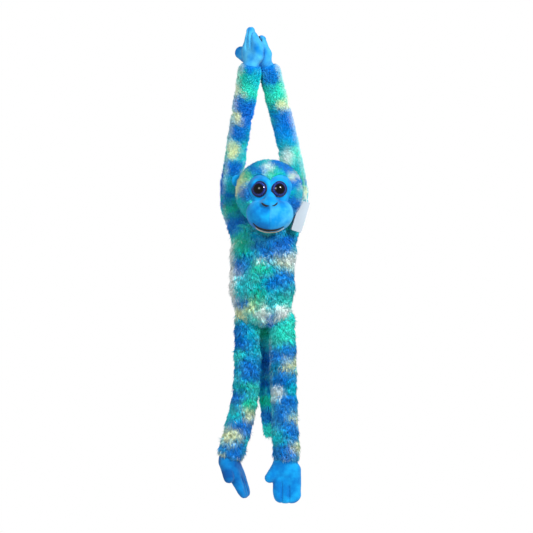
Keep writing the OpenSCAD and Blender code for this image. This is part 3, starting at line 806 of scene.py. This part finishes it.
head = surface(head_field, tuple(HEAD - 50), tuple(HEAD + 50), 1.15)
middle = head.centres()
face_part = (on_face(middle) > 0) & (middle[:, 1] < -34)
for panel, keep in (
    ("head_right_panel", ~face_part & (middle[:, 0] < MIDDLE)),
    ("head_left_panel", ~face_part & (middle[:, 0] >= MIDDLE)),
):
    part = head.part(keep)
    stood_for = [panel] + (["head_stuffing"] if "left" in panel else [])
    plush_skin(panel.replace("panel", "plush"), part, head_colour, "head", stood_for, dark=0.8)
    pile(panel.replace("panel", "pile"), part, head_colour, "head", HEAD_PILE, head_flow)
smooth_skin("face_velour", head.part(face_part), sky, "head", ["face_panel"])


def muzzle_field(p):
    """The chin and two cheeks, then the bridge and the tip of the nose, and the centre seam below it."""
    x, z = p[..., 0] - MIDDLE, p[..., 2]
    f = egg(p, (MIDDLE - 0.6, -54, -178), (27.2, 22, 21.5))
    for side in (-1, 1):
        f = meld(f, egg(p, (MIDDLE - 0.6 + side * 13.6, -53.5, -172.5), (17.2, 20.5, 17.5)), 10)
    f = meld(f, rod(p, (MIDDLE + 0.5, -59, -142), (MIDDLE, -67.5, -158.5), 5.5, 9.5), 7)
    f = meld(f, egg(p, (MIDDLE - 0.8, -71.5, -161), (11.5, 6.5, 4.6)), 5)
    f = f + groove(x + 0.6, 0.8, 1.1) * ease(-166, -170, z) * ease(-197, -190, z)
    return f + 0.4 * noise(p, 12, 91)


muzzle = surface(muzzle_field, (MIDDLE - 36, -80, -201), (MIDDLE + 36, -32, -134), 0.9)
middle = muzzle.centres()
on_left = middle[:, 0] >= MIDDLE - 0.5
# The muzzle's left half wears the paler velour, painted light on its lit side
for side, keep, look in (("right", ~on_left, sky), ("left", on_left, sky_painted_light)):
    stood_for = [f"muzzle_{side}_panel"] + (["muzzle_stuffing"] if side == "left" else [])
    smooth_skin(f"muzzle_{side}_velour", muzzle.part(keep), look, "head", stood_for)

chin = surface(
    lambda p: egg(p, (MIDDLE, -46, -181.5), (26, 17, 15.5)) + 0.4 * noise(p, 9, 95),
    (MIDDLE - 32, -74, -203),
    (MIDDLE + 32, -26, -160),
    1.1,
)
chin_colour = lambda p: np.tile(BLUE, (len(p), 1)) * (0.9 + 0.2 * noise(p, 7, 96))[:, None]
plush_skin("chin_plush", chin, chin_colour, "head", ["chin"])
below_mouth = lambda centres: centres[:, 2] < -184
pile("chin_pile", chin, chin_colour, "head", CHIN_PILE, (0, 0.6, -1), where=below_mouth)


# Stitches lie on the muzzle, found by looking at it from the front
muzzle_tree = BVHTree.FromPolygons([Vector(v) for v in muzzle.points], muzzle.faces.tolist())


def on_muzzle(x, z, out=0.0):
    """The point of the muzzle straight behind (x, z), raised by out."""
    hit, normal, _, _ = muzzle_tree.ray_cast(Vector((x, -200, z)), Vector((0, 1, 0)))
    if hit is None:
        hit, normal, _, _ = muzzle_tree.find_nearest(Vector((x, -70, z)))
    return arr(*hit) + arr(*normal) * out


def cord_mesh(points, radii, around=10):
    """A round cord along points; radii holds a radius for each end and the places between."""
    line = np.array(points, float)
    r = np.interp(np.linspace(0, 1, len(line)), np.linspace(0, 1, len(radii)), radii)
    along = unit(np.gradient(line, axis=0))
    side = unit(np.cross(along, arr(0.13, 0.4, 0.9)))
    other = np.cross(along, side)
    angle = np.linspace(0, 2 * np.pi, around, endpoint=False)
    ring = line[:, None] + r[:, None, None] * (
        np.cos(angle)[None, :, None] * side[:, None] + np.sin(angle)[None, :, None] * other[:, None]
    )
    points = ring.reshape(-1, 3)
    faces = []
    for i in range(len(line) - 1):
        for j in range(around):
            k = (j + 1) % around
            faces.append((i * around + j, i * around + k, (i + 1) * around + k, (i + 1) * around + j))
    ends = [len(points), len(points) + 1]
    points = np.vstack([points, line[0], line[-1]])
    last = (len(line) - 1) * around
    for j in range(around):
        k = (j + 1) % around
        faces.append((ends[0], k, j, ends[0]))
        faces.append((ends[1], last + j, last + k, ends[1]))
    return points, faces


def cord_object(name, points, radii, look, body, nodes=()):
    points, faces = cord_mesh(points, radii)
    me = bpy.data.meshes.new(name)
    me.from_pydata([tuple(v * MM) for v in points], [], [f if f[0] != f[3] else f[:3] for f in faces])
    me.polygons.foreach_set("use_smooth", [True] * len(me.polygons))
    me.materials.append(look)
    ob = bpy.data.objects.new(name, me)
    bpy.context.collection.objects.link(ob)
    attach(ob, body, nodes)


def stitched(name, path, radii, look, out=0.1, nodes=()):
    """A line of stitches on the muzzle along (x, z) places."""
    line = [on_muzzle(x, z, out) for x, z in curve_through([(x, z, 0) for x, z in path], 6)[:, :2]]
    cord_object(name, line, radii, look, "head", nodes)


mouth = [(-14.5, -186.5), (-11, -190), (-5.5, -193.4), (3, -195.8), (11, -196), (19, -194.6), (26.5, -191)]
# The black cord is the stitched mouth and also painted shade in the open lip below the muzzle
stitched("mouth_stitches", mouth, (0.6, 1.6, 2.0, 1.6, 0.6), thread, nodes=["nose_and_mouth_stitches"])
stitched("lip_edge", [(x, z - 2.6) for x, z in mouth[1:]], (0.5, 1.0, 1.0, 1.0, 0.5), lip, 0.0)
nostril = [(-3.2, -159.6), (-0.8, -161.8), (3, -163.6), (6.6, -163.6)]
stitched("right_nostril", nostril, (0.6, 1.5, 1.3, 0.5), thread)
nostril = [(11.4, -163.4), (14, -163.0), (16.6, -161.2), (17.8, -159.4)]
stitched("left_nostril", nostril, (0.5, 0.9, 1.1, 0.6), thread)


EARS = {"right": (-42.5, 4, 16), "left": (37, 18, 14)}  # from the head's centre
for side, place in EARS.items():
    at, out = HEAD + arr(*place), np.sign(place[0])

    def ear_field(p):
        rim = egg(p, at, (8.2, 4.0, 8.6))
        return -meld(-rim, egg(p, at + arr(out * 1.5, -4.5, 0), (5.8, 3.4, 6.6)), 1.5)

    ear = surface(ear_field, tuple(at - 13), tuple(at + 13), 0.75)
    smooth_skin(f"{side}_ear_velour", ear, sky, "head", [f"{side}_ear"])


# ---------------------------------------------------------------- eyes


EYE_R, EYE_RISE = 10.2, 5.0  # the dome's radius and how far it stands up


def eye_look():
    """Black in the middle, with a ring of deep blue glitter seen through the clear edge, whose flakes carry painted
    glints.
    """
    m, tree, s = material("eye_dome", 0.05)
    s.inputs["Specular IOR Level"].default_value = 0.28
    place = tree.nodes.new("ShaderNodeTexCoord")
    split = tree.nodes.new("ShaderNodeSeparateXYZ")
    flat = tree.nodes.new("ShaderNodeCombineXYZ")
    length = tree.nodes.new("ShaderNodeVectorMath")
    length.operation = "LENGTH"
    ramp = tree.nodes.new("ShaderNodeValToRGB")
    scale = tree.nodes.new("ShaderNodeMath")
    scale.operation = "MULTIPLY"
    scale.inputs[1].default_value = 1 / (10.3 * MM)
    e = ramp.color_ramp.elements
    e[0].position, e[0].color = 0.62, (0.0005, 0.0005, 0.001, 1)
    e[1].position, e[1].color = 0.72, (0.006, 0.014, 0.09, 1)
    for position, colour in ((0.84, (0.02, 0.045, 0.26, 1)), (0.93, (0.006, 0.008, 0.03, 1))):
        x = e.new(position)
        x.color = colour
    glitter = tree.nodes.new("ShaderNodeTexVoronoi")
    glitter.inputs["Scale"].default_value = 1900
    # Some flakes are brightened up to five times past white: painted glints on the real glitter
    glitter_glint = tree.nodes.new("ShaderNodeValToRGB")
    glitter_glint.color_ramp.elements[0].position, glitter_glint.color_ramp.elements[0].color = 0.12, (5, 5, 4, 1)
    glitter_glint.color_ramp.elements[1].position, glitter_glint.color_ramp.elements[1].color = 0.42, (0.5, 0.5, 0.6, 1)
    mix = tree.nodes.new("ShaderNodeMix")
    mix.data_type, mix.blend_type = "RGBA", "MULTIPLY"
    mix.inputs[0].default_value = 1.0
    link = tree.links.new
    link(place.outputs["Object"], split.inputs[0])
    link(split.outputs["X"], flat.inputs["X"])
    link(split.outputs["Y"], flat.inputs["Y"])
    link(flat.outputs[0], length.inputs[0])
    link(length.outputs["Value"], scale.inputs[0])
    link(scale.outputs[0], ramp.inputs["Fac"])
    link(place.outputs["Object"], glitter.inputs["Vector"])
    link(glitter.outputs["Distance"], glitter_glint.inputs["Fac"])
    link(ramp.outputs["Color"], mix.inputs[6])
    link(glitter_glint.outputs["Color"], mix.inputs[7])
    link(mix.outputs[2], s.inputs["Base Color"])
    return m


def turned(profile, around=56):
    """A closed turned shape from (radius, height) pairs that start and end on the axis."""
    angle = np.linspace(0, 2 * np.pi, around, endpoint=False)
    points = [(r * np.cos(a), r * np.sin(a), h) for r, h in profile for a in angle]
    faces = []
    for i in range(len(profile) - 1):
        for j in range(around):
            k = (j + 1) % around
            faces.append((i * around + j, i * around + k, (i + 1) * around + k, (i + 1) * around + j))
    return np.array(points), np.array(faces)


dome = eye_look()
rim, _, _ = material("eye_rim", 0.3, 0.0, (0.012, 0.012, 0.04))
sphere_r = (EYE_R**2 + EYE_RISE**2) / (2 * EYE_RISE)
cap = [(0.001, EYE_RISE)]
for a in np.linspace(0.03, np.arcsin(EYE_R / sphere_r), 16):
    cap.append((sphere_r * np.sin(a), EYE_RISE - sphere_r + sphere_r * np.cos(a)))
dome_profile = cap + [(EYE_R, -1.0), (0.001, -1.0)]
rim_profile = [(9.6, -1.4), (11.0, -1.2), (11.1, -0.2), (10.4, 0.5), (9.9, 0.3), (9.6, -1.4)]
for side, sign in (("right", -1), ("left", 1)):
    axis = eye_axis(sign)
    facing = Vector(axis).to_track_quat("Z", "Y").to_matrix().to_4x4()
    place = Matrix.Translation(Vector((HEAD + axis * 44.0) * MM)) @ facing
    for name, profile, look, slot, node in (
        ("dome", dome_profile, dome, "eye_plastic", "lens"),
        ("rim", rim_profile, rim, "eye_glitter", "iris"),
    ):
        points, faces = turned(profile)
        ob = new_mesh(f"{side}_eye_{name}", points, faces, look)
        ob.matrix_world = place
        attach(ob, "head", [f"{side}_eye_{node}"])


# ---------------------------------------------------------------- neck and tag

neck_field = lambda p: ball(p, NECK, 12.5) + 0.4 * noise(p, 9, 97)
neck = surface(neck_field, tuple(arr(*NECK) - 16), tuple(arr(*NECK) + 16), 1.3)
neck_colour = lambda p: dyed(p, ("chest",), 0)
plush_skin("neck_plush", neck, neck_colour, "neck", ["neck_core"])

tag_turn = turn_about("Y", 17)
LEAVES_OPEN = 24


def leaf_points(turn):
    """One leaf of the folded card, with its two outer corners rounded, turned about the fold."""
    w, l, t, round_r = 15.0, 42.0, 0.35, 2
    outline = [(0, 0)]
    for cx, cz, a0 in ((-w + round_r, -round_r, 90), (-w + round_r, -l + round_r, 180)):
        for a in np.radians(range(a0, a0 + 91, 15)):
            outline.append((cx + round_r * np.cos(a), cz + round_r * np.sin(a)))
    outline += [(0, -l)]
    front = np.array([(x, 0, z) for x, z in outline])
    points = np.vstack([front, front + arr(0, t, 0)]) @ turn_about("Z", turn).T
    n = len(front)
    faces = [tuple(range(n)), tuple(range(2 * n - 1, n - 1, -1))]
    faces += [(i, i + n, (i + 1) % n + n, (i + 1) % n) for i in range(n)]
    return points, faces


verts, polys = [], []
for turn in (0, LEAVES_OPEN):
    points, faces = leaf_points(turn)
    polys += [tuple(i + len(verts) for i in f) for f in faces]
    verts += [tuple((tag_turn @ (v + arr(5.0, 0, -0.3)) + arr(*TAG)) * MM) for v in points]
me = bpy.data.meshes.new("hang_tag_card")
me.from_pydata(verts, [], polys)
me.materials.append(card)
tag_object = bpy.data.objects.new("hang_tag_card", me)
bpy.context.collection.objects.link(tag_object)
attach(tag_object, "tag", ["hang_tag"])
start = HEAD + arr(41, 6, 2)
bend = curve_through([start, (start + arr(*TAG)) / 2 + arr(3, 0, 1), arr(*TAG) + arr(0, 0, -1.5)], 8)
cord_object("tag_thread", bend, (0.45, 0.45), nylon, "head", ["tag_fastener"])


# ---------------------------------------------------------------- stage

corners = np.array([(x, y, FLOOR_Z) for x, y in ((-400, -300), (400, -300), (400, 300), (-400, 300))])
pale_floor, _, _ = material("pale_floor", 0.9, 0.0, linear(240, 240, 240))
floor = new_mesh("floor", corners, np.array([(0, 1, 2, 3)]), pale_floor)

# A white backdrop that is seen at full strength and lights the toy at half of it
world = bpy.data.worlds.new("studio")
bpy.context.scene.world = world
world.use_nodes = True
tree = world.node_tree
tree.nodes.clear()
out = tree.nodes.new("ShaderNodeOutputWorld")
seen, light = tree.nodes.new("ShaderNodeBackground"), tree.nodes.new("ShaderNodeBackground")
seen.inputs["Color"].default_value, seen.inputs["Strength"].default_value = (1, 1, 1, 1), 1.0
light.inputs["Color"].default_value, light.inputs["Strength"].default_value = (0.97, 0.99, 1, 1), 0.5
path = tree.nodes.new("ShaderNodeLightPath")
mix = tree.nodes.new("ShaderNodeMixShader")
tree.links.new(path.outputs["Is Camera Ray"], mix.inputs[0])
tree.links.new(light.outputs[0], mix.inputs[1])
tree.links.new(seen.outputs[0], mix.inputs[2])
tree.links.new(mix.outputs[0], out.inputs[0])


def area(name, place, aim, size, power):
    lamp = bpy.data.lights.new(name, "AREA")
    lamp.size, lamp.energy = size, power
    ob = bpy.data.objects.new(name, lamp)
    ob.location = place
    ob.rotation_euler = (Vector(aim) - Vector(place)).to_track_quat("-Z", "Y").to_euler()
    bpy.context.collection.objects.link(ob)


CHEST = (0, 0, -0.25)
area("key", (1.3, -1.7, 0.9), CHEST, 0.5, 62)
area("fill", (-0.9, -2.2, 0.5), CHEST, 0.9, 26)
bpy.context.scene.view_settings.view_transform = "Standard"

# Far off and level with the belly, so that near and far parts show at almost one scale
camera = bpy.data.cameras.new("camera")
camera.sensor_width = 36
camera.lens = 199.3
camera.clip_start, camera.clip_end = 0.1, 20
camera_object = bpy.data.objects.new("camera", camera)
camera_object.location = (3.4 * MM, -4.0, -244.4 * MM)
camera_object.rotation_euler = (np.radians(90), 0, 0)
bpy.context.collection.objects.link(camera_object)
bpy.context.scene.camera = camera_object
